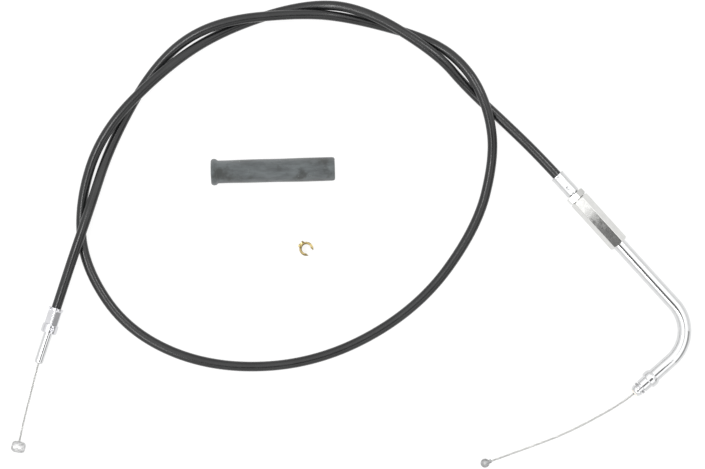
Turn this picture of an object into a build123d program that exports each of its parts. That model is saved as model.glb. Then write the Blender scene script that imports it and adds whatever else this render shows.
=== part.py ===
"""Motorcycle throttle cable with its loose fitting boot and brass ferrule.

The cable lies as it does on a bench: its jacket in a loose turn and a half on the surface z = 0,
the carburettor end to the left and the adjuster with its bent elbow to the right. Millimetres.
"""

from build123d import *
from math import cos, pi, radians, tan
import os

os.makedirs("parts", exist_ok=True)

# ---------------------------------------------------------------- driving dimensions
GAP = 0.05              # radial gap between coaxial pieces that slide or turn in each other
SEAT = 0.03             # radial gap of a crimped or pushed-in seat

JACKET_R = 2.5          # vinyl jacket, 5 mm outside
CONDUIT_R = 1.8         # wound steel conduit under it
LINER_R = 1.2           # low-friction liner in the conduit
LINER_BORE = 0.9
WIRE_R = 0.6            # 1.2 mm inner wire
STROKE = 24.0           # throttle pull

CARB_Z = 4.2            # height of the carburettor end's axis
ADJUSTER_Z = 5.1        # height of the adjuster's and elbow's axis
LOW = JACKET_R          # jacket on the bench
HIGH = 8.1              # jacket where it passes over itself

HEX_FLATS = 8.9         # across the flats of the adjuster barrel and jam nut
HEX_ROLL = 10.0         # degrees that the barrel lies turned from flat-side-up
NUT_ROLL = 21.0         # the same for the jam nut
THREAD_R = 3.0          # M6 adjuster screw
ELBOW_R = 3.5           # elbow tube, 7 mm outside
ELBOW_BORE = 2.3
ELBOW_BEND = 20.0       # bend radius of the elbow's centre line
ELBOW_CORNER = 109.05   # from the jacket's mouth to where the elbow's two axes meet
ELBOW_TURN = 90.7       # degrees between the elbow's two axes

# Stations along the carburettor axis, from the jacket's mouth outwards
CARB_FERRULE_END = 13.5
CARB_COLLAR_START = 9.1
NOSE_END = 29.7
# Stations along the adjuster axis, from the jacket's mouth outwards
FERRULE_END = 12.4
NUT_START, NUT_END = 12.8, 16.2
BARREL_START, BARREL_END = 16.4, 47.2
SCREW_END = 36.0
BUSH_START, BUSH_END = 38.8, 42.9
FLANGE_START, FLANGE_END = 43.1, 44.5
WIRE_SPLIT = 23.7       # inside the screw, where the housing's wire meets the elbow's
# Stations along the elbow's exit axis, from the corner of the two axes
BEND_END = 20.4
COLLAR_START, COLLAR_END = 31.9, 36.4
SLEEVE_END = 40.5
GROOVE_END = 42.9
TIP_END = 45.3
TIP_BUSH_END = 45.7

# Radii of the turned pieces
CARB_FERRULE_R, CARB_COLLAR_R = 3.7, 4.1
NOSE_R, NOSE_BORE = 2.2, 1.0
NOSE_ROOT_R = 2.45      # shoulder of the nose tube that the ferrule holds
CARB_LIP_R = 3.85
THROTTLE_FERRULE_R, MOUTH_LIP_R = 3.55, 3.7
COLLAR_R, SLEEVE_R = 4.45, 3.45
RING_SEAT, RING_R = 2.7, 3.35
TIP_R, TIP_BORE = 3.2, 2.28

# ---------------------------------------------------------------- the cable's route on the bench
JACKET_ROUTE = [
    (-158.6, -23.8, CARB_Z), (-153, -6.7, CARB_Z), (-147, 10.5, HIGH), (-139, 33.5, HIGH),
    (-128, 69.5, LOW), (-104.5, 111, LOW), (-76, 130.5, HIGH), (-30, 135, HIGH),
    (-3, 132.4, LOW), (36.5, 121.3, LOW), (55, 105.5, HIGH), (64.9, 84, HIGH),
    (67.5, 61, LOW), (58.8, 25.5, LOW), (28.5, -16, LOW), (-21, -43.3, LOW),
    (-75, -46.6, LOW), (-118.2, -28.7, LOW), (-141.8, 5.3, LOW), (-144.5, 38, LOW),
    (-132.5, 74, HIGH), (-102, 105.5, HIGH), (-72.5, 126, LOW), (-30, 140, LOW),
    (0.5, 137.5, HIGH), (38, 114.4, HIGH), (53.5, 97, LOW), (72, 80, LOW),
    (91.1, 61.3, ADJUSTER_Z), (104.3, 46.8, ADJUSTER_Z),
]
JACKET_IN_CARB = 9.0        # length of jacket inside the carburettor ferrule
JACKET_IN_THROTTLE = 7.5    # length of jacket inside the throttle ferrule

UP = Vector(0, 0, 1)
route = [Vector(*point) for point in JACKET_ROUTE]

# Carburettor axis: out of the jacket's first end
carb_way = (route[0] - route[1]).normalized()
carb_mouth = route[0] - carb_way * JACKET_IN_CARB
# Adjuster axis: out of the jacket's last end
adjuster_way = (route[-1] - route[-2]).normalized()
adjuster_mouth = route[-1] - adjuster_way * JACKET_IN_THROTTLE
# The elbow's exit axis
elbow_corner = adjuster_mouth + adjuster_way * ELBOW_CORNER
exit_way = adjuster_way.rotate(Axis.Z, -ELBOW_TURN)


def on_carb(station):
    return carb_mouth + carb_way * station


def on_adjuster(station):
    return adjuster_mouth + adjuster_way * station


def on_exit(station):
    return elbow_corner + exit_way * station


def side_plane(origin, way):
    """Plane that holds an axis: local X runs along it, local Y is the radius, upwards."""
    return Plane(origin=origin, x_dir=way, z_dir=way.cross(UP))


def cross_plane(origin, way):
    """Plane across an axis, local X upwards."""
    return Plane(origin=origin, x_dir=UP, z_dir=way)


carb_side, carb_axis = side_plane(carb_mouth, carb_way), Axis(carb_mouth, carb_way)
adjuster_side = side_plane(adjuster_mouth, adjuster_way)
adjuster_axis = Axis(adjuster_mouth, adjuster_way)
exit_side, exit_axis = side_plane(elbow_corner, exit_way), Axis(elbow_corner, exit_way)


def section(plane, outline):
    """Closed face of (station, radius) points."""
    with BuildSketch(plane) as face:
        with BuildLine():
            Polyline(*outline, close=True)
        make_face()
    return face.sketch


def corner_radii(points, share=0.45):
    """Radius of each corner of a route: a share of its shorter run over tan(half the turn)."""
    radii = []
    for before, here, after in zip(points, points[1:], points[2:]):
        run_in, run_out = here - before, after - here
        half_turn = radians(run_in.get_angle(run_out)) / 2
        radii.append(share * min(run_in.length, run_out.length) / tan(half_turn))
    return radii


def path_of(points, radii=None):
    """Straight runs joined by tangent arcs."""
    with BuildLine() as line:
        FilletPolyline(*points, radius=radii or corner_radii(points))
    return line.wire()


def tube_along(points, outer, inner=0.0, radii=None):
    """Round tube, or a solid rod when inner is 0, swept along a route."""
    path = path_of(points, radii)
    start = Plane(origin=path @ 0, z_dir=path % 0)
    with BuildPart() as tube:
        with BuildSketch(start):
            Circle(outer)
            if inner:
                Circle(inner, mode=Mode.SUBTRACT)
        sweep(path=path)
    area = pi * (outer ** 2 - inner ** 2)
    print(f"  tube {2 * outer:.1f} mm: length {path.length:.1f}, volume over section x length",
          f"{tube.part.volume / (area * path.length):.4f}")
    return tube.part


def save(part, name):
    part.label = name
    export_step(part, f"parts/{name}.step")


print("jacket corner radii", [round(radius) for radius in corner_radii(route)])

# ---------------------------------------------------------------- housing: jacket, conduit, liner
with BuildPart() as cable_jacket:
    add(tube_along(route, JACKET_R, CONDUIT_R + GAP))
save(cable_jacket.part, "cable_jacket")

with BuildPart() as spiral_conduit:
    add(tube_along(route, CONDUIT_R, LINER_R + GAP))
save(spiral_conduit.part, "spiral_conduit")

with BuildPart() as conduit_liner:
    add(tube_along(route, LINER_R, LINER_BORE))
save(conduit_liner.part, "conduit_liner")

# The wire inside starts where the carburettor end's travel stops, and ends in the adjuster screw
CARB_WIRE_IN = 3.0      # length of the free wire inside the nose tube at rest
TRAVEL_ROOM = 1.0
hidden_start = on_carb(NOSE_END - CARB_WIRE_IN - STROKE - TRAVEL_ROOM)
with BuildPart() as inner_wire_run:
    add(tube_along([hidden_start] + route[1:-1] + [on_adjuster(WIRE_SPLIT)], WIRE_R,
                   radii=corner_radii(route)))
save(inner_wire_run.part, "inner_wire_run")

# ---------------------------------------------------------------- carburettor end
with BuildPart() as carb_ferrule:
    seat, nose_seat = JACKET_R + SEAT, NOSE_ROOT_R + SEAT
    inner_step = JACKET_IN_CARB + 0.2
    revolve(section(carb_side, [
        (0, seat), (0, CARB_FERRULE_R - 0.1), (0.3, CARB_LIP_R), (0.9, CARB_LIP_R),
        (1.3, CARB_FERRULE_R), (CARB_COLLAR_START - 0.5, CARB_FERRULE_R),
        (CARB_COLLAR_START, CARB_COLLAR_R), (CARB_FERRULE_END - 0.5, CARB_COLLAR_R),
        (CARB_FERRULE_END, CARB_FERRULE_R - 0.2), (CARB_FERRULE_END, nose_seat),
        (inner_step, nose_seat), (inner_step, seat)]), axis=carb_axis)
save(carb_ferrule.part, "carb_ferrule")

with BuildPart() as carb_nose_tube:
    nose_start = JACKET_IN_CARB + 0.3
    revolve(section(carb_side, [
        (nose_start, NOSE_BORE), (nose_start, NOSE_ROOT_R), (CARB_FERRULE_END, NOSE_ROOT_R),
        (CARB_FERRULE_END, NOSE_R), (NOSE_END - 1, NOSE_R), (NOSE_END - 0.3, NOSE_R - 0.25),
        (NOSE_END, NOSE_BORE + 0.4), (NOSE_END, NOSE_BORE)]), axis=carb_axis)
save(carb_nose_tube.part, "carb_nose_tube")

# The wire leaves the nose on its axis and straight for the whole stroke, then drops to the bench
NIPPLE_Z = 3.0
nipple_centre = Vector(-175.3, -86.2, NIPPLE_Z)
wire_bend = on_carb(61.0)
wire_bend = Vector(wire_bend.X, wire_bend.Y, 3.7)
nipple_way = (nipple_centre - wire_bend).normalized()
NIPPLE_R, NIPPLE_HALF = 2.9, 3.45
carb_wire_route = [on_carb(NOSE_END - CARB_WIRE_IN), wire_bend, nipple_centre + nipple_way * 1.2]
with BuildPart() as carb_wire:
    add(tube_along(carb_wire_route, WIRE_R))
save(carb_wire.part, "carb_wire")

nipple_side = Vector(nipple_way.Y, -nipple_way.X, 0).normalized()
with BuildPart() as carb_barrel_end:
    with BuildSketch(Plane(origin=nipple_centre, x_dir=UP, z_dir=nipple_side)):
        Circle(NIPPLE_R)
    extrude(amount=NIPPLE_HALF, both=True)
    chamfer(carb_barrel_end.edges().filter_by(GeomType.CIRCLE), 0.5)
    with BuildSketch(Plane(origin=nipple_centre + nipple_way * 1.25, z_dir=nipple_way * -1)):
        Circle(WIRE_R + SEAT)
    extrude(amount=6, mode=Mode.SUBTRACT)
save(carb_barrel_end.part, "carb_barrel_end")

# ---------------------------------------------------------------- throttle end: ferrule and screw
with BuildPart() as throttle_ferrule:
    seat = JACKET_R + SEAT
    revolve(section(adjuster_side, [
        (0, seat), (0, THROTTLE_FERRULE_R - 0.1), (0.3, MOUTH_LIP_R), (0.9, MOUTH_LIP_R),
        (1.4, THROTTLE_FERRULE_R), (FERRULE_END - 0.4, THROTTLE_FERRULE_R),
        (FERRULE_END, THROTTLE_FERRULE_R - 0.3), (FERRULE_END, seat)]), axis=adjuster_axis)
save(throttle_ferrule.part, "throttle_ferrule")

SCREW_BORE = 1.3
with BuildPart() as adjuster_screw:
    revolve(section(adjuster_side, [
        (7.7, SCREW_BORE), (7.7, JACKET_R), (FERRULE_END + 0.1, JACKET_R),
        (FERRULE_END + 0.3, THREAD_R), (SCREW_END - 0.6, THREAD_R), (SCREW_END, 2.5),
        (SCREW_END, SCREW_BORE)]), axis=adjuster_axis)
save(adjuster_screw.part, "adjuster_screw")

HEX_RADIUS = HEX_FLATS / 2 / cos(radians(30))


def hex_envelope(start, end, chamfer_depth):
    """Turned outline that takes the corners off a hexagon at both ends."""
    flat = HEX_FLATS / 2 - 0.1
    return section(adjuster_side, [
        (start, 0), (start, flat), (start + chamfer_depth, HEX_RADIUS + 0.05),
        (end - chamfer_depth, HEX_RADIUS + 0.05), (end, flat), (end, 0)])


def hexagon_at(station, roll):
    plane = cross_plane(on_adjuster(station), adjuster_way)
    with BuildSketch(plane) as face:
        RegularPolygon(radius=HEX_RADIUS, side_count=6, rotation=30 + roll)
    return face.sketch


with BuildPart() as jam_nut:
    extrude(hexagon_at(NUT_START, NUT_ROLL), amount=NUT_END - NUT_START)
    revolve(hex_envelope(NUT_START, NUT_END, 0.5), axis=adjuster_axis, mode=Mode.INTERSECT)
    revolve(section(adjuster_side, [
        (NUT_START - 1, 0), (NUT_START - 1, THREAD_R + GAP), (NUT_END + 1, THREAD_R + GAP),
        (NUT_END + 1, 0)]), axis=adjuster_axis, mode=Mode.SUBTRACT)
save(jam_nut.part, "jam_nut")

SOCKET_R = 3.85
with BuildPart() as adjuster_barrel:
    extrude(hexagon_at(BARREL_START, HEX_ROLL), amount=BARREL_END - BARREL_START)
    revolve(hex_envelope(BARREL_START, BARREL_END, 0.6), axis=adjuster_axis,
            mode=Mode.INTERSECT)
    revolve(section(adjuster_side, [
        (BARREL_START - 1, 0), (BARREL_START - 1, THREAD_R + GAP), (38.5, THREAD_R + GAP),
        (38.5, SOCKET_R), (FLANGE_END + 0.1, SOCKET_R), (FLANGE_END + 0.1, ELBOW_R + GAP),
        (BARREL_END + 1, ELBOW_R + GAP), (BARREL_END + 1, 0)]),
        axis=adjuster_axis, mode=Mode.SUBTRACT)
save(adjuster_barrel.part, "adjuster_barrel")

with BuildPart() as swivel_bush:
    revolve(section(adjuster_side, [
        (BUSH_START, 1.6), (BUSH_START, SOCKET_R - GAP), (BUSH_END, SOCKET_R - GAP),
        (BUSH_END, 1.6)]), axis=adjuster_axis)
save(swivel_bush.part, "swivel_bush")

# ---------------------------------------------------------------- elbow
ELBOW_TUBE_END = 35.2
elbow_route = [on_adjuster(FLANGE_START), elbow_corner, on_exit(ELBOW_TUBE_END)]
with BuildPart() as elbow_tube:
    add(tube_along(elbow_route, ELBOW_R, ELBOW_BORE, [ELBOW_BEND]))
    revolve(section(adjuster_side, [
        (FLANGE_START, ELBOW_BORE), (FLANGE_START, SOCKET_R - GAP),
        (FLANGE_END, SOCKET_R - GAP), (FLANGE_END, ELBOW_BORE)]), axis=adjuster_axis)
save(elbow_tube.part, "elbow_tube")

elbow_liner_route = [on_adjuster(FLANGE_START + 0.2), elbow_corner, on_exit(GROOVE_END)]
with BuildPart() as elbow_liner:
    add(tube_along(elbow_liner_route, ELBOW_BORE - GAP, LINER_BORE, [ELBOW_BEND]))
save(elbow_liner.part, "elbow_liner")

elbow_wire_route = [on_adjuster(WIRE_SPLIT + 0.3), elbow_corner, on_exit(BEND_END)]
with BuildPart() as elbow_wire_run:
    add(tube_along(elbow_wire_route, WIRE_R, radii=[ELBOW_BEND]))
save(elbow_wire_run.part, "elbow_wire_run")

with BuildPart() as elbow_end_fitting:
    revolve(section(exit_side, [
        (COLLAR_START, ELBOW_R + SEAT), (COLLAR_START, 3.75), (COLLAR_START + 1.5, COLLAR_R),
        (COLLAR_END - 0.6, COLLAR_R), (COLLAR_END, COLLAR_R - 0.35), (COLLAR_END, SLEEVE_R),
        (SLEEVE_END - 0.2, SLEEVE_R), (SLEEVE_END, SLEEVE_R - 0.2), (SLEEVE_END, RING_SEAT),
        (GROOVE_END, RING_SEAT), (GROOVE_END, TIP_R), (GROOVE_END + 1, TIP_R - 0.1),
        (TIP_END - 0.5, TIP_R - 0.5), (TIP_END, TIP_BORE), (GROOVE_END + 0.1, TIP_BORE),
        (GROOVE_END + 0.1, ELBOW_BORE), (ELBOW_TUBE_END + 0.1, ELBOW_BORE),
        (ELBOW_TUBE_END + 0.1, ELBOW_R + SEAT)]),
        axis=exit_axis)
save(elbow_end_fitting.part, "elbow_end_fitting")

RING_ARC = 315          # degrees of the open ring
with BuildPart() as retaining_ring:
    ring_start, ring_end = SLEEVE_END + 0.65, GROOVE_END - 0.65
    revolve(section(exit_side, [
        (ring_start, RING_SEAT + 0.02), (ring_start, RING_R), (ring_end, RING_R),
        (ring_end, RING_SEAT + 0.02)]), axis=exit_axis, revolution_arc=RING_ARC)
save(retaining_ring.part, "retaining_ring")

with BuildPart() as tip_bush:
    bush_r = TIP_BORE - SEAT
    revolve(section(exit_side, [
        (GROOVE_END + 0.15, LINER_BORE), (GROOVE_END + 0.15, bush_r), (TIP_END, bush_r),
        (TIP_BUSH_END, bush_r - 0.45), (TIP_BUSH_END, LINER_BORE)]), axis=exit_axis)
save(tip_bush.part, "tip_bush")

# The wire starts straight inside the elbow's last stretch, as long as the stroke, and leaves
# the tip on the same line before it sinks to the bench
BALL_R, BALL_Z = 2.3, 2.35
ball_centre = Vector(62.8, -94.5, BALL_Z)
throttle_wire_route = [
    on_exit(BEND_END + 0.4), on_exit(53.0), Vector(106.5, -78.4, 2.6), Vector(84, -87, 1.5),
    ball_centre]
print("throttle wire radii", [round(radius) for radius in corner_radii(throttle_wire_route)])
with BuildPart() as throttle_wire:
    add(tube_along(throttle_wire_route, WIRE_R))
save(throttle_wire.part, "throttle_wire")

ball_way = (throttle_wire_route[-2] - ball_centre).normalized()
with BuildPart() as throttle_ball_end:
    with BuildSketch(side_plane(ball_centre, ball_way)):
        with BuildLine():
            arc = CenterArc((0, 0), BALL_R, 25, 155)
            Polyline(arc @ 1, (3.4, 0), (3.4, 0.95), arc @ 0)
        make_face()
    revolve(axis=Axis(ball_centre, ball_way))
    with BuildSketch(Plane(origin=ball_centre - ball_way * 0.05, z_dir=ball_way)):
        Circle(WIRE_R + SEAT)
    extrude(amount=5, mode=Mode.SUBTRACT)
save(throttle_ball_end.part, "throttle_ball_end")

# ---------------------------------------------------------------- loose adjuster boot
BOOT_LENGTH = 63.0
BOOT_LIP_R, BOOT_START_R, BOOT_END_R, BOOT_BORE = 6.8, 5.8, 6.1, 4.6
boot_start = Vector(-76.8, 53.9, BOOT_LIP_R + 0.04)
boot_way = Vector(63.0, 1.75, BOOT_END_R - BOOT_LIP_R).normalized()
boot_side = Plane(origin=boot_start, x_dir=boot_way, z_dir=boot_way.cross(UP))
with BuildPart() as rubber_boot:
    revolve(section(boot_side, [
        (0, BOOT_BORE), (0, BOOT_LIP_R - 0.8), (0.8, BOOT_LIP_R), (2.5, BOOT_LIP_R),
        (3.5, BOOT_START_R), (BOOT_LENGTH - 0.6, BOOT_END_R),
        (BOOT_LENGTH, BOOT_END_R - 0.6), (BOOT_LENGTH, BOOT_BORE)]),
        axis=Axis(boot_start, boot_way))
save(rubber_boot.part, "rubber_boot")

# ---------------------------------------------------------------- loose brass ferrule
BRASS_R, BRASS_BORE, BRASS_HEIGHT = 3.6, 2.35, 5.0
BRASS_MOUTH, BRASS_SLOT = 3.6, 1.5
BRASS_TURN = -42.0      # degrees, the way its wide mouth faces
BRASS_LUG, BRASS_LUG_WIDTH, BRASS_FLOOR = 1.4, 3.6, 1.2
brass_base = Plane(origin=(-28.4, 14.9, 0), x_dir=Vector(1, 0, 0).rotate(Axis.Z, BRASS_TURN),
                   z_dir=UP)
with BuildPart() as brass_ferrule:
    with BuildSketch(brass_base):
        Circle(BRASS_R)
        with Locations((-BRASS_R, 0)):
            Rectangle(BRASS_LUG, BRASS_LUG_WIDTH)
        Circle(BRASS_BORE, mode=Mode.SUBTRACT)
        with Locations((BRASS_R, 0)):
            Rectangle(2 * BRASS_R, BRASS_MOUTH, mode=Mode.SUBTRACT)
    extrude(amount=BRASS_HEIGHT)
    with BuildSketch(brass_base.offset(BRASS_FLOOR)):
        with Locations((-BRASS_R, 0)):
            Rectangle(2 * BRASS_R, BRASS_SLOT)
    extrude(amount=BRASS_HEIGHT, mode=Mode.SUBTRACT)
save(brass_ferrule.part, "brass_ferrule")
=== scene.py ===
"""Looks of a motorcycle throttle cable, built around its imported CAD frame.

Metres, +Z up, bench at z = 0. Stations and radii of turned pieces are in millimetres, as on a drawing,
and Axis3.at() turns them into places in the frame.
"""

from math import cos, hypot, pi, radians, sin, tan

import bmesh
import bpy
import numpy as np
from mathutils import Matrix, Vector


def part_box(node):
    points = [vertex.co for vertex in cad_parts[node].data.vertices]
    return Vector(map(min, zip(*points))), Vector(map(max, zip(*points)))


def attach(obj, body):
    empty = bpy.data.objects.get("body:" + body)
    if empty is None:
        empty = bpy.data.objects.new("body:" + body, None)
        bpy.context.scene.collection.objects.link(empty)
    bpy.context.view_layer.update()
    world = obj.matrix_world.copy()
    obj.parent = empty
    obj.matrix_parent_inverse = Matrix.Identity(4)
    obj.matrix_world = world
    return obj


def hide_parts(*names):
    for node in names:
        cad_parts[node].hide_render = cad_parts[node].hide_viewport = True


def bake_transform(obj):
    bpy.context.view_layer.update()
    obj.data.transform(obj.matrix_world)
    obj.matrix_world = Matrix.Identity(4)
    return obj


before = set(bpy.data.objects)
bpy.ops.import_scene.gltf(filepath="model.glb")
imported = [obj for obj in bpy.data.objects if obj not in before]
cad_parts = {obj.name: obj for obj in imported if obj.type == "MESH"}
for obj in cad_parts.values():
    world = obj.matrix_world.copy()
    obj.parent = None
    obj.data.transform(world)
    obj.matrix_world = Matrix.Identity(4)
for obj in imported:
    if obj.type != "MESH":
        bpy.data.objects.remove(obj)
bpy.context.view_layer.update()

MM = 0.001
UP = Vector((0, 0, 1))

# ------------------------------------------------------------------ sizes, in millimetres
JACKET_R = 2.5
WIRE_R = 0.6
HEX_FLATS = 8.9
BARREL_ROLL, NUT_ROLL = 10.0, 21.0      # degrees that a flat leans from facing up
THREAD_R, THREAD_ROOT, THREAD_PITCH = 3.0, 2.45, 1.0
ELBOW_R, ELBOW_BORE = 3.5, 2.3
ELBOW_BEND, ELBOW_TURN = 20.0, 90.7     # bend radius, and degrees between its two axes
ELBOW_CORNER = 109.05
NOSE_END = 29.7
BARREL_END = 47.2
TIP_END = 45.3
FERRULE_IN = 7.5                        # length of jacket that the throttle ferrule holds
CARB_FERRULE_IN = 9.0                   # the same at the carburettor end
CRIMP_APOTHEM, CRIMP_TURN = 3.38, 34.5  # flats crimped in the carburettor ferrule, turned by degrees
CRIMP_START, CRIMP_END = 1.35, 9.0
COLLAR_R = 4.1                          # the carburettor ferrule's collar
BARREL_BORE = 3.05
BOOT_LENGTH, BOOT_BORE = 63.0, 4.6
BALL_R = 2.3

# The jacket's route on the bench, in metres: the CAD route's own points
JACKET_ROUTE = [
    (-0.1586, -0.0238, 0.0042), (-0.153, -0.0067, 0.0042), (-0.147, 0.0105, 0.0081),
    (-0.139, 0.0335, 0.0081), (-0.128, 0.0695, 0.0025), (-0.1045, 0.111, 0.0025),
    (-0.076, 0.1305, 0.0081), (-0.030, 0.135, 0.0081), (-0.003, 0.1324, 0.0025),
    (0.0365, 0.1213, 0.0025), (0.055, 0.1055, 0.0081), (0.0649, 0.084, 0.0081),
    (0.0675, 0.061, 0.0025), (0.0588, 0.0255, 0.0025), (0.0285, -0.016, 0.0025),
    (-0.021, -0.0433, 0.0025), (-0.075, -0.0466, 0.0025), (-0.1182, -0.0287, 0.0025),
    (-0.1418, 0.0053, 0.0025), (-0.1445, 0.038, 0.0025), (-0.1325, 0.074, 0.0081),
    (-0.102, 0.1055, 0.0081), (-0.0725, 0.126, 0.0025), (-0.030, 0.140, 0.0025),
    (0.0005, 0.1375, 0.0081), (0.038, 0.1144, 0.0081), (0.0535, 0.097, 0.0025),
    (0.072, 0.080, 0.0025), (0.0911, 0.0613, 0.0051), (0.1043, 0.0468, 0.0051),
]


class Axis3:
    """An axis in the frame. Stations along it and radii about it are in millimetres."""

    def __init__(self, origin, way):
        self.origin, self.way = Vector(origin), Vector(way).normalized()
        self.side = self.way.cross(UP).normalized()     # level, to the right of the way
        self.up = self.side.cross(self.way)

    def at(self, station, radius=0.0, angle=0.0):
        """The point at a station, radius out, at an angle from straight up to the right."""
        out = self.up * cos(angle) + self.side * sin(angle)
        return self.origin + (self.way * station + out * radius) * MM


route = [Vector(point) for point in JACKET_ROUTE]
carb_way = (route[0] - route[1]).normalized()
carb = Axis3(route[0] - carb_way * CARB_FERRULE_IN * MM, carb_way)
adjuster_way = (route[-1] - route[-2]).normalized()
adjuster = Axis3(route[-1] - adjuster_way * FERRULE_IN * MM, adjuster_way)
exit_way = Matrix.Rotation(-radians(ELBOW_TURN), 3, "Z") @ adjuster_way
elbow_exit = Axis3(adjuster.at(ELBOW_CORNER), exit_way)


# ------------------------------------------------------------------ mesh helpers
def link(name, data):
    obj = bpy.data.objects.new(name, data)
    bpy.context.scene.collection.objects.link(obj)
    return obj


def finish_mesh(name, verts, faces, crease=30.0):
    """Mesh object with outward normals, smooth but for edges sharper than crease degrees."""
    mesh = bpy.data.meshes.new(name)
    mesh.from_pydata([tuple(v) for v in verts], [], faces)
    work = bmesh.new()
    work.from_mesh(mesh)
    bmesh.ops.recalc_face_normals(work, faces=work.faces)
    work.to_mesh(mesh)
    work.free()
    mesh.shade_smooth()
    mesh.set_sharp_from_angle(angle=radians(crease))
    return link(name, mesh)


def skin_faces(rings, around, start=0, closed=True):
    """Faces over rings of points. Closed joins the last ring to the first, else the ends are capped."""
    faces = []
    for i in range(rings if closed else rings - 1):
        a, b = start + i * around, start + (i + 1) % rings * around
        for j in range(around):
            k = (j + 1) % around
            faces.append((a + j, a + k, b + k, b + j))
    if not closed:
        faces.append(tuple(range(start + around - 1, start - 1, -1)))
        last = start + (rings - 1) * around
        faces.append(tuple(range(last, last + around)))
    return faces


def rounded(outline, radius, steps=4, closed=True):
    """The outline with each real corner replaced by a small curve."""
    result, count = [], len(outline)
    for i, here in enumerate(outline):
        here = Vector(here)
        if not closed and i in (0, count - 1):
            result.append(here)
            continue
        before, after = Vector(outline[i - 1]), Vector(outline[(i + 1) % count])
        back, on = before - here, after - here
        if back.length < 1e-6 or on.length < 1e-6 or back.angle(on) > radians(168):
            result.append(here)
            continue
        reach = min(radius, 0.45 * back.length, 0.45 * on.length)
        a, b = here + back.normalized() * reach, here + on.normalized() * reach
        for k in range(steps + 1):
            t = k / steps
            result.append(a * (1 - t) ** 2 + here * 2 * t * (1 - t) + b * t ** 2)
    return result


LONG_RUN, HOLD = 1.5, 0.25      # mm: a run that is held, and how near its ends


def held(outline):
    """The outline with a point near each end of its long runs, so that their shading stays straight."""
    points = [outline[0]]
    for (s0, r0), (s1, r1) in zip(outline, outline[1:]):
        length = hypot(s1 - s0, r1 - r0)
        if length > LONG_RUN:
            for share in (HOLD / length, 1 - HOLD / length):
                points.append((s0 + (s1 - s0) * share, r0 + (r1 - r0) * share))
        points.append((s1, r1))
    return points


def turned(name, axis, outline, segments=96, edge=0.12, closed=True, shape=None):
    """Piece turned from an outline of (station, radius). shape(station, angle, radius) may press it in."""
    outline = held(rounded(outline, edge, closed=closed))
    verts = []
    for station, radius in outline:
        for j in range(segments):
            angle = 2 * pi * j / segments
            out = shape(station, angle, radius) if shape else radius
            verts.append(axis.at(station, out, angle))
    return finish_mesh(name, verts, skin_faces(len(outline), segments, closed=closed))


# Degrees from the middle of a flat, closer together where its corner is eased
HEX_STEPS = (-30.0, -29.3, -28.6, -20.0, -10.0, 0.0, 10.0, 20.0, 28.6, 29.3)


def hex_piece(name, axis, start, end, roll, chamfer, bore):
    """Hexagon bar, its corners eased and turned off at both ends. bore is (station, radius) back."""
    apothem = HEX_FLATS / 2
    corner, face = apothem / cos(radians(28.6)), apothem - 0.1
    angles = [radians(roll + 60 * k + step) for k in range(6) for step in HEX_STEPS]
    flats = [min(corner, apothem / cos(radians(step))) for _ in range(6) for step in HEX_STEPS]
    rings = []
    shares = (0.0, 0.35, 0.7, 1.0)
    for edge, inward, steps in ((start, chamfer, shares), (end, -chamfer, shares[::-1])):
        for share in steps:
            rings.append([(edge + inward * share * (f - face) / (corner - face),
                           face + (f - face) * share) for f in flats])
    for point in rounded(bore, 0.1, closed=False):
        rings.append([tuple(point)] * len(angles))
    verts = [axis.at(s, r, angle) for ring in rings for (s, r), angle in zip(ring, angles)]
    return finish_mesh(name, verts, skin_faces(len(rings), len(angles)), crease=22.0)


def swept_rings(centres, ways, radii, sides):
    """Rings of points about a line, each ring level with the bench sideways."""
    verts = []
    for centre, way, radius in zip(centres, ways, radii):
        side = way.cross(UP).normalized()
        up = side.cross(way)
        for j in range(sides):
            angle = 2 * pi * j / sides
            verts.append(centre + (up * cos(angle) + side * sin(angle)) * radius)
    return verts


# ------------------------------------------------------------------ cords
def nurbs(name, points, resolution=16):
    """Curve whose control points are a route's own points."""
    data = bpy.data.curves.new(name, "CURVE")
    data.dimensions = "3D"
    data.resolution_u = resolution
    spline = data.splines.new("NURBS")
    spline.points.add(len(points) - 1)
    for control, point in zip(spline.points, points):
        control.co = (*point, 1.0)
    spline.order_u = 3
    spline.use_endpoint_u = True
    return link(name, data)


def line_of(points, step=0.0005):
    """Evenly spaced points along a route's NURBS spline."""
    guide = nurbs("guide", points, 32)
    mesh = bpy.data.meshes.new_from_object(guide)
    co = np.array([v.co for v in mesh.vertices], float)
    bpy.data.objects.remove(guide)
    bpy.data.meshes.remove(mesh)
    run = np.concatenate([[0], np.cumsum(np.linalg.norm(np.diff(co, axis=0), axis=1))])
    even = np.linspace(0, run[-1], int(run[-1] / step) + 1)
    return [Vector(np.array([np.interp(s, run, co[:, k]) for k in range(3)])) for s in even]


def ways_along(line):
    ends = [line[0]] + line[:-1], line[1:] + [line[-1]]
    return [(after - before).normalized() for before, after in zip(*ends)]


def stranded_wire(name, line, strands=12, lay=9.0, sides=6):
    """Inner wire: outer strands laid in a helix over a round core."""
    strand_r = WIRE_R * sin(pi / strands) / (1 + sin(pi / strands)) * MM
    ways, step = ways_along(line), (line[1] - line[0]).length
    verts = swept_rings(line, ways, [WIRE_R * MM - 1.6 * strand_r] * len(line), 12)
    faces = skin_faces(len(line), 12, closed=False)
    for k in range(strands):
        centres = []
        for i, (point, way) in enumerate(zip(line, ways)):
            turn = 2 * pi * (i * step / (lay * MM) + k / strands)
            side = way.cross(UP).normalized()
            up = side.cross(way)
            centres.append(point + (up * cos(turn) + side * sin(turn)) * (WIRE_R * MM - strand_r))
        faces += skin_faces(len(line), sides, start=len(verts), closed=False)
        verts += swept_rings(centres, ways, [strand_r] * len(line), sides)
    return finish_mesh(name, verts, faces, crease=60.0)


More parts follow.
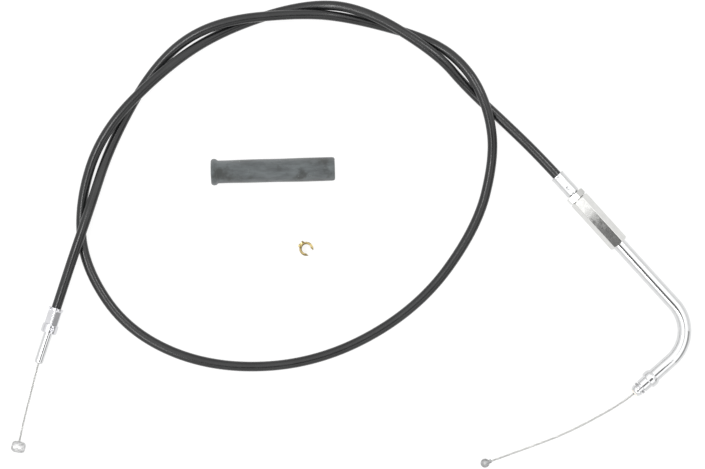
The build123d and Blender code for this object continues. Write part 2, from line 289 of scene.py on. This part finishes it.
# ------------------------------------------------------------------ materials
class Finish:
    """A material built on the Principled shader, with short calls for its nodes."""

    def __init__(self, name, **sockets):
        self.material = bpy.data.materials.new(name)
        self.material.use_nodes = True
        self.tree = self.material.node_tree
        self.shader = self.tree.nodes["Principled BSDF"]
        for socket, value in sockets.items():
            self.shader.inputs[socket.replace("_", " ")].default_value = value
        self.place = self.node("ShaderNodeTexCoord").outputs["Object"]

    def node(self, kind, inputs=None, **settings):
        made = self.tree.nodes.new(kind)
        for key, value in settings.items():
            setattr(made, key, value)
        for key, value in (inputs or {}).items():
            if isinstance(value, bpy.types.NodeSocket):
                self.tree.links.new(value, made.inputs[key])
            else:
                made.inputs[key].default_value = value
        return made

    def noise(self, scale, detail=3.0, rough=0.55, stretch=None):
        """Noise from 0 to 1; stretch scales it differently along X, Y and Z."""
        place = self.place
        if stretch:
            place = self.node("ShaderNodeMapping", {"Vector": place, "Scale": stretch}).outputs[0]
        return self.node("ShaderNodeTexNoise", {"Vector": place, "Scale": scale, "Detail": detail,
                                                "Roughness": rough}).outputs["Fac"]

    def spread(self, value, low, high, start=0.35, end=0.65):
        """A value between start and end, spread from low to high."""
        return self.node("ShaderNodeMapRange", {"Value": value, "From Min": start, "From Max": end,
                                                "To Min": low, "To Max": high}).outputs[0]

    def mixed(self, share, first, second):
        """Two colours, or colour sockets, mixed by a share."""
        made = self.node("ShaderNodeMix", data_type="RGBA")
        for key, value in ((0, share), (6, first), (7, second)):
            if isinstance(value, bpy.types.NodeSocket):
                self.tree.links.new(value, made.inputs[key])
            else:
                made.inputs[key].default_value = value if key == 0 else (*value, 1.0)
        return made.outputs[2]

    def into(self, socket, value):
        self.tree.links.new(value, self.shader.inputs[socket])

    def bump(self, *layers):
        """Bump from (height, distance in metres) layers, one on the other."""
        normal = None
        for height, distance in layers:
            inputs = {"Height": height, "Distance": distance, "Strength": 1.0}
            if normal:
                inputs["Normal"] = normal
            normal = self.node("ShaderNodeBump", inputs).outputs[0]
        self.into("Normal", normal)


def vinyl():
    """Glossy black jacket: a soft haze of handling, fine grain and a few scuffs."""
    m = Finish("black_vinyl", Specular_IOR_Level=0.45)
    haze, scuff = m.noise(60, 4), m.noise(900, 2, stretch=(1, 1, 3))
    m.into("Base Color", m.mixed(m.spread(haze, 0, 1), (0.007, 0.007, 0.0075), (0.013, 0.0135, 0.014)))
    m.into("Roughness", m.spread(m.noise(220, 4), 0.18, 0.28))
    m.bump((scuff, 6e-6), (m.noise(4000, 2), 2e-6))
    return m.material


def chrome(name, tint, low, high, wave, grain):
    """Bright plate: near mirror, with faint waves of the metal below, pits and handling marks."""
    m = Finish(name, Metallic=1.0)
    shade = tuple(c * 0.93 for c in tint)
    m.into("Base Color", m.mixed(m.spread(m.noise(300, 4), 0, 1), tint, shade))
    m.into("Roughness", m.spread(m.noise(500, 5), low, high))
    pits = m.node("ShaderNodeTexVoronoi", {"Vector": m.place, "Scale": 420.0}).outputs["Distance"]
    pit = m.spread(pits, 0.0, 1.0, 0.03, 0.1)
    m.bump((m.noise(160, 2), wave), (pit, grain * 4), (m.noise(2500, 3), grain))
    return m.material


def wire_steel():
    """Galvanised strands, their tone and dullness varying at random."""
    m = Finish("wire_steel", Metallic=1.0)
    m.into("Base Color", m.mixed(m.spread(m.noise(1500, 3), 0, 1), (0.51, 0.51, 0.50),
                                 (0.69, 0.69, 0.68)))
    m.into("Roughness", m.spread(m.noise(2500, 2), 0.32, 0.5))
    m.bump((m.noise(6000, 2), 3e-6))
    return m.material


def die_cast(name, dark, light):
    """Cast zinc: grainy skin, cooler and brighter where it has rubbed."""
    m = Finish(name, Metallic=0.9)
    grain, patch = m.noise(2600, 4), m.noise(700, 3)
    m.into("Base Color", m.mixed(m.spread(patch, 0, 1), dark, light))
    m.into("Roughness", m.spread(grain, 0.42, 0.65))
    m.bump((patch, 1.3e-4), (grain, 3.5e-5))
    return m.material


def spring_steel():
    m = Finish("spring_steel", Metallic=1.0)
    m.into("Base Color", m.mixed(m.spread(m.noise(900, 3), 0, 1), (0.30, 0.30, 0.31),
                                 (0.46, 0.46, 0.47)))
    m.into("Roughness", m.spread(m.noise(1800, 3), 0.25, 0.4))
    m.bump((m.noise(3500, 2), 3e-6))
    return m.material


def plastic(name, dark, light, low, high):
    """Natural engineering plastic for the liners and bushes."""
    m = Finish(name, Subsurface_Weight=0.15, Subsurface_Scale=0.001)
    m.into("Base Color", m.mixed(m.spread(m.noise(700, 3), 0, 1), dark, light))
    m.into("Roughness", m.spread(m.noise(1500, 3), low, high))
    m.bump((m.noise(5000, 2), 3e-6))
    return m.material


def dusty_rubber():
    """Moulded black rubber under grey dust: soft streaks along it, wiped patches and pale scuffs."""
    m = Finish("dusty_rubber", Specular_IOR_Level=0.3, Sheen_Weight=0.25, Sheen_Roughness=0.6)
    streak = m.noise(220, 5, 0.6, stretch=(0.35, 1.3, 1.3))
    patch = m.noise(90, 4, 0.6)
    dust = m.mixed(m.spread(streak, 0, 1, 0.38, 0.62), (0.050, 0.056, 0.058), (0.086, 0.097, 0.100))
    wiped = m.mixed(m.spread(patch, 0, 1, 0.52, 0.66), dust, (0.034, 0.037, 0.036))
    scuff = m.spread(m.noise(1100, 6, 0.7, stretch=(1, 0.5, 1)), 0, 1, 0.66, 0.74)
    m.into("Base Color", m.mixed(scuff, wiped, (0.30, 0.31, 0.30)))
    m.into("Roughness", m.spread(patch, 0.62, 0.85))
    m.bump((patch, 8e-5), (m.noise(1500, 5), 2e-5), (m.noise(6000, 2), 5e-6))
    return m.material


def brass():
    """Bright drawn brass, mixed at random with patches of dark brown."""
    m = Finish("bright_brass", Metallic=1.0)
    m.into("Base Color", m.mixed(m.spread(m.noise(500, 4), 0, 1, 0.42, 0.62), (0.56, 0.45, 0.21),
                                 (0.13, 0.095, 0.04)))
    m.into("Roughness", m.spread(m.noise(1600, 4), 0.12, 0.28))
    m.bump((m.noise(1200, 3), 1e-5), (m.noise(5000, 2), 1e-6))
    return m.material


CHROME_TINT = (0.68, 0.685, 0.69)
finishes = {
    "vinyl": vinyl(),
    "chrome": chrome("bright_chrome", CHROME_TINT, 0.03, 0.07, 1.2e-6, 2e-7),
    "barrel_chrome": chrome("barrel_chrome", (0.68, 0.68, 0.665), 0.04, 0.08, 1.2e-6, 1e-7),
    "carb_chrome": chrome("carb_chrome", (0.66, 0.66, 0.68), 0.05, 0.10, 1.5e-6, 3e-7),
    "wire": wire_steel(),
    "die_cast": die_cast("die_cast_zinc", (0.40, 0.40, 0.40), (0.66, 0.66, 0.66)),
    "die_cast_dark": die_cast("die_cast_dark", (0.26, 0.26, 0.26), (0.46, 0.46, 0.46)),
    "spring_steel": spring_steel(),
    "liner": plastic("liner_plastic", (0.72, 0.71, 0.67), (0.84, 0.83, 0.80), 0.3, 0.45),
    "nylon": plastic("natural_nylon", (0.66, 0.64, 0.57), (0.80, 0.78, 0.72), 0.35, 0.5),
    "rubber": dusty_rubber(),
    "brass": brass(),
}


def dress(obj, finish, body=None, nodes=()):
    """Gives a piece its finish in a fresh material slot and its body, and hides the CAD nodes that it
    stands for.
    """
    obj.data.materials.clear()
    obj.data.materials.append(finishes[finish])
    if body:
        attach(obj, body)
    if nodes:
        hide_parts(*nodes)
    return obj


# ------------------------------------------------------------------ jacket
jacket = nurbs("vinyl_jacket", JACKET_ROUTE, 24)
jacket.data.bevel_depth = JACKET_R * MM
jacket.data.bevel_resolution = 7
jacket.data.use_fill_caps = True
dress(jacket, "vinyl", "housing",
      ["cable_jacket", "spiral_conduit", "conduit_liner", "inner_wire_run"])

# ------------------------------------------------------------------ carburettor end
def pressed_mark(station, angle, centre, half, depth, edge, outline=max):
    """Depth of a mark pressed about a (station, degrees) centre.

    half is its half sizes, the same way, and edge the share of them that slopes. The outline is max for
    an oblong mark and hypot for an oval one.
    """
    across = (angle + pi) % (2 * pi) - pi
    off = outline(abs(station - centre[0]) / half[0],
                  abs(across - radians(centre[1])) / radians(half[1]))
    return depth * min(1.0, max(0.0, (1.0 - off) / edge))


def hex_crimp(station, angle, radius):
    """The barrel is crimped to six soft flats, one corner nearly up; its lip and collar are staked."""
    if radius < 3.5:
        return radius
    if station < CRIMP_START:
        return radius - pressed_mark(station, angle, (0.9, 38), (0.55, 15), 1.1, 0.35, hypot)
    if station > CRIMP_END:
        return radius - pressed_mark(station, angle, (11.0, -25), (0.95, 15), 0.95, 0.35, hypot)
    turn = (angle + radians(CRIMP_TURN)) % radians(60) - radians(30)
    return min(radius, CRIMP_APOTHEM / cos(radians(30) - abs(turn)))


carb_ferrule = turned("carb_crimp_ferrule", carb, [
    (0, 2.53), (0, 3.6), (0.3, 3.85)] + [(0.4 + 0.1 * k, 3.85) for k in range(6)] + [
    (1.0, 3.83), (1.1, 3.79), (1.2, 3.74), (1.3, 3.7), (1.7, 3.7), (2.2, 3.7), (3.4, 3.7), (5, 3.7),
    (7, 3.7), (8.6, 3.7), (9.1, COLLAR_R)] + [(9.4 + 0.2 * k, COLLAR_R) for k in range(18)] + [
    (13.0, COLLAR_R), (13.5, 3.5), (13.5, 2.48), (9.2, 2.48), (9.2, 2.53)], segments=192, shape=hex_crimp)
dress(carb_ferrule, "carb_chrome", "housing", ["carb_ferrule"])

nose = turned("carb_nose", carb, [
    (9.3, 1.0), (9.3, 2.45), (13.5, 2.45), (13.5, 2.2), (28.7, 2.2), (29.4, 1.95),
    (NOSE_END, 1.4), (NOSE_END, 1.0)])
dress(nose, "chrome", "housing", ["carb_nose_tube"])

nipple_low, nipple_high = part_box("carb_barrel_end")
nipple_centre = (nipple_low + nipple_high) / 2
carb_wire_line = line_of([
    carb.at(22), carb.at(28), (-0.1656, -0.0460, 0.0042), (-0.1692, -0.0602, 0.0038),
    (-0.1729, -0.0742, 0.0033), nipple_centre + Vector((0.0004, 0.0020, 0))])
carb_wire = stranded_wire("carb_inner_wire", carb_wire_line)
dress(carb_wire, "wire", nodes=["carb_wire"])
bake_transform(carb_wire)

nipple_way = (Vector(carb_wire_line[-1]) - carb_wire_line[-12]).normalized()
nipple_axis = Axis3(nipple_centre, nipple_way.cross(UP))
nipple = turned("carb_nipple_casting", nipple_axis, [
    (-3.45, 0.03), (-3.45, 1.9), (-2.5, 2.75), (-0.9, 2.9), (0.9, 2.9), (2.5, 2.75), (3.45, 1.9),
    (3.45, 0.03)], segments=48, edge=0.5, closed=False)
dress(nipple, "die_cast", "carb_pull_wire", ["carb_barrel_end"])

# ------------------------------------------------------------------ throttle end
def pressed_flat(station, angle, radius):
    """A small oblong crimp mark beside the nut."""
    if radius < 3.5 or station < 5.0:
        return radius
    return radius - pressed_mark(station, angle, (8.7, 11.0), (1.1, 10.0), 0.8, 0.45)


ferrule_stations = [(1.4 + 0.2 * k, 3.55) for k in range(54)]
throttle_ferrule = turned("throttle_crimp_ferrule", adjuster, [
    (0, 2.53), (0, 3.45), (0.3, 3.7), (0.9, 3.7)] + ferrule_stations + [(12.4, 3.25),
    (12.4, 2.53)], segments=192, shape=pressed_flat)
dress(throttle_ferrule, "chrome", "housing", ["throttle_ferrule"])


def screw_thread(station, angle, radius):
    """Radius of an M6 thread between its shoulder and its lead."""
    if radius < THREAD_R - 0.05 or not 13.2 < station < 35.2:
        return radius
    phase = (station / THREAD_PITCH - angle / (2 * pi)) % 1.0
    return THREAD_ROOT + (THREAD_R - THREAD_ROOT) * min(1.0, 2.2 * abs(phase - 0.5))


screw_rings = [(13.0 + 0.1 * k, THREAD_R) for k in range(225)]
screw = turned("adjuster_thread", adjuster, [(7.7, 1.3), (7.7, 2.5), (12.5, 2.5)] + screw_rings + [
    (36.0, 2.5), (36.0, 1.3)], segments=64, edge=0.02, shape=screw_thread)
dress(screw, "chrome", "housing", ["adjuster_screw"])

jam_nut = hex_piece("hex_jam_nut", adjuster, 12.8, 16.2, NUT_ROLL, 0.5, [
    (16.2, BARREL_BORE), (12.8, BARREL_BORE)])
dress(jam_nut, "barrel_chrome", "nut", ["jam_nut"])

barrel = hex_piece("hex_barrel", adjuster, 16.4, BARREL_END, BARREL_ROLL, 0.6, [
    (BARREL_END, 3.55), (44.6, 3.55), (44.6, 3.85), (38.5, 3.85), (38.5, BARREL_BORE), (16.4, BARREL_BORE)])
dress(barrel, "barrel_chrome", "barrel", ["adjuster_barrel"])

# ------------------------------------------------------------------ elbow
def elbow_line():
    """Centres and ways along the elbow, and its outside radius at each, flange first."""
    reach = ELBOW_BEND * tan(radians(ELBOW_TURN) / 2)
    rows = [(adjuster.at(s), adjuster.way, r) for s, r in (
        (43.1, 3.7), (43.2, 3.8), (44.4, 3.8), (44.5, 3.7), (44.52, ELBOW_R), (50, ELBOW_R),
        (60, ELBOW_R), (70, ELBOW_R), (80, ELBOW_R))]
    centre = adjuster.at(ELBOW_CORNER - reach) + adjuster.side * ELBOW_BEND * MM
    for k in range(49):
        turn = Matrix.Rotation(-radians(ELBOW_TURN) * k / 48, 3, "Z")
        arm = turn @ (adjuster.at(ELBOW_CORNER - reach) - centre)
        rows.append((centre + arm, turn @ adjuster.way, ELBOW_R))
    rows += [(elbow_exit.at(s), elbow_exit.way, ELBOW_R) for s in (23, 27, 31, 35.2)]
    return rows


elbow_rows = elbow_line()
back = [(centre, way, ELBOW_BORE) for centre, way, _ in reversed(elbow_rows)]
rows = elbow_rows + back
elbow = finish_mesh("elbow_pipe", swept_rings([r[0] for r in rows], [r[1] for r in rows],
                                              [r[2] * MM for r in rows], 72),
                    skin_faces(len(rows), 72))
dress(elbow, "chrome", "elbow", ["elbow_tube"])

end_fitting = turned("elbow_tip", elbow_exit, [
    (31.9, 3.53), (31.9, 3.75), (33.4, 4.45), (35.8, 4.45), (36.4, 4.1), (36.4, 3.45),
    (40.3, 3.45), (40.5, 3.25), (40.5, 2.7), (42.9, 2.7), (42.9, 3.2), (43.9, 3.1),
    (44.8, 2.7), (TIP_END, 2.3), (43.0, 2.28), (43.0, ELBOW_BORE),
    (35.3, ELBOW_BORE), (35.3, 3.53)])
dress(end_fitting, "chrome", "elbow", ["elbow_end_fitting"])

# The tip's stretch on the axis keeps the wire straight in the elbow, where the throttle pulls it
ball_centre = Vector((0.0628, -0.0945, 0.00235))
throttle_wire_line = line_of([
    elbow_exit.at(20.8), elbow_exit.at(40), elbow_exit.at(53), (0.1065, -0.0784, 0.0026),
    (0.0840, -0.0870, 0.0015), ball_centre])
throttle_wire = stranded_wire("throttle_inner_wire", throttle_wire_line)
dress(throttle_wire, "wire", "throttle_pull_wire", ["throttle_wire"])

ball_axis = Axis3(ball_centre, Vector((0.0840, -0.0870, 0.0015)) - ball_centre)
ball_outline = [(-BALL_R * cos(radians(a)), max(0.02, BALL_R * sin(radians(a))))
                for a in range(0, 156, 5)]
ball = turned("throttle_ball_casting", ball_axis, ball_outline + [(3.4, 0.95), (3.4, 0.02)],
              segments=48, edge=0.15, closed=False)
dress(ball, "die_cast_dark", "throttle_pull_wire", ["throttle_ball_end"])

# ------------------------------------------------------------------ loose rubber boot
boot_start = Vector((-0.0768, 0.0539, 0.00684))
boot_axis = Axis3(boot_start, Vector((BOOT_LENGTH, 1.75, -0.7)))


def soft_wall(station, angle, radius):
    """The boot's wall isn't quite round or straight, as moulded rubber isn't."""
    if radius < 5.0:
        return radius
    wave = sin(station * 0.23 + 2 * angle) + 0.6 * sin(station * 0.11 - 3 * angle + 1.3)
    return radius + 0.05 * wave * min(1.0, max(0.0, station - 3) / 6)


wall = [(3.6 + k * 2.0, 5.82 + 0.0047 * (k * 2.0)) for k in range(29)]
boot = turned("rubber_adjuster_boot", boot_axis, [
    (0, BOOT_BORE), (0, 6.0), (0.7, 6.7), (1.6, 6.8), (2.6, 6.65), (3.2, 6.05)] + wall + [
    (61.6, 6.1), (62.6, 5.85), (BOOT_LENGTH, 5.3), (BOOT_LENGTH, BOOT_BORE)], edge=0.4, shape=soft_wall)
dress(boot, "rubber", "boot", ["rubber_boot"])


# ------------------------------------------------------------------ CAD solids that only need a finish
def eased_copy(name, node, width):
    """The CAD node's own shape with its hard edges eased."""
    obj = link(name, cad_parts[node].data.copy())
    work = bmesh.new()
    work.from_mesh(obj.data)
    bmesh.ops.remove_doubles(work, verts=work.verts, dist=1e-6)
    bmesh.ops.dissolve_limit(work, angle_limit=radians(1), verts=work.verts, edges=work.edges)
    sharp = [e for e in work.edges if len(e.link_faces) == 2 and e.calc_face_angle() > radians(35)]
    bmesh.ops.bevel(work, geom=sharp, offset=width * MM, segments=3, affect="EDGES", profile=0.5)
    work.to_mesh(obj.data)
    work.free()
    obj.data.shade_smooth()
    obj.data.set_sharp_from_angle(angle=radians(30))
    return obj


brass_ferrule = eased_copy("open_brass_ferrule", "brass_ferrule", 0.15)
dress(brass_ferrule, "brass", "loose_ferrule", ["brass_ferrule"])

KEPT_NODES = {"retaining_ring": "spring_steel", "tip_bush": "nylon", "swivel_bush": "nylon",
              "elbow_liner": "liner", "elbow_wire_run": "wire"}
for node, finish in KEPT_NODES.items():
    dress(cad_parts[node], finish)


# ------------------------------------------------------------------ bench, lights and camera
def emitter(name, strength, diffuse=0.0):
    """White surface that glows evenly, with an optional share of plain matt white."""
    material = bpy.data.materials.new(name)
    material.use_nodes = True
    tree = material.node_tree
    tree.nodes.remove(tree.nodes["Principled BSDF"])
    glow = tree.nodes.new("ShaderNodeEmission")
    glow.inputs["Color"].default_value = (1, 1, 1, 1)
    glow.inputs["Strength"].default_value = strength
    matt = tree.nodes.new("ShaderNodeBsdfDiffuse")
    matt.inputs["Color"].default_value = (diffuse, diffuse, diffuse, 1)
    both = tree.nodes.new("ShaderNodeAddShader")
    tree.links.new(glow.outputs[0], both.inputs[0])
    tree.links.new(matt.outputs[0], both.inputs[1])
    tree.links.new(both.outputs[0], tree.nodes["Material Output"].inputs["Surface"])
    return material


def panel(name, centre, size, material, facing=(0, 0, 1), seen=False):
    """Flat rectangle of the studio, hidden from the camera unless seen."""
    x, y = size[0] / 2, size[1] / 2
    mesh = bpy.data.meshes.new(name)
    mesh.from_pydata([(-x, -y, 0), (x, -y, 0), (x, y, 0), (-x, y, 0)], [], [(0, 1, 2, 3)])
    obj = link(name, mesh)
    obj.location = centre
    obj.rotation_mode = "QUATERNION"
    obj.rotation_quaternion = Vector(facing).to_track_quat("Z", "Y")
    obj.data.materials.append(material)
    obj.visible_camera = seen
    return obj


FLAG_TURN = 45.0        # degrees that the dark flag is turned on the bench's plan

panel("bench", (0, 0, 0), (14, 14), emitter("bench_white", 0.86, 0.16), seen=True)
panel("ceiling_softbox", (0.1, -0.3, 1.42), (3.4, 3.8), emitter("softbox", 1.6))
flag = panel("dark_flag", (-0.009, -0.641, 1.30), (1.20, 0.66), emitter("flag", 0.24))
flag.rotation_quaternion = Matrix.Rotation(radians(FLAG_TURN), 3, "Z").to_quaternion()
panel("side_wall", (1.80, -0.85, 0.65), (1.5, 1.3), emitter("wall_grey", 0.5), facing=(-1, 0, 0))

# Three small soft lamps below the ceiling, all facing down
for name, place, watts in (("key", (-0.62, 0.05, 1.36), 5.0), ("fill", (0.80, 0.72, 1.36), 5.0),
                           ("front", (-0.57, -0.62, 1.28), 3.0)):
    light = bpy.data.lights.new(name, "AREA")
    light.shape, light.size, light.size_y, light.energy = "RECTANGLE", 0.3, 0.5, watts
    link(name, light).location = place

scene = bpy.context.scene
world = bpy.data.worlds.new("studio")
world.use_nodes = True
background = world.node_tree.nodes["Background"]
background.inputs["Color"].default_value = (1, 1, 1, 1)
sky = world.node_tree.nodes.new("ShaderNodeTexCoord")
height = world.node_tree.nodes.new("ShaderNodeSeparateXYZ")
glow = world.node_tree.nodes.new("ShaderNodeMapRange")      # a little darker towards the horizon
for socket, value in (("From Min", 0.02), ("From Max", 0.45), ("To Min", 0.82), ("To Max", 1.15)):
    glow.inputs[socket].default_value = value
world.node_tree.links.new(sky.outputs["Generated"], height.inputs[0])
world.node_tree.links.new(height.outputs["Z"], glow.inputs["Value"])
world.node_tree.links.new(glow.outputs[0], background.inputs["Strength"])
scene.world = world
scene.view_settings.view_transform = "Standard"

CAMERA_LENS, SENSOR = 135.0, 36.0       # mm
FIELD = 0.35955                         # width of the picture at the aim, in metres
AIM = Vector((-0.00485, 0.0222, 0.0035))
camera_data = bpy.data.cameras.new("camera")
camera_data.lens, camera_data.sensor_width = CAMERA_LENS, SENSOR
camera_data.clip_end = 50
camera = link("camera", camera_data)
camera.location = AIM + UP * FIELD * CAMERA_LENS / SENSOR
scene.camera = camera
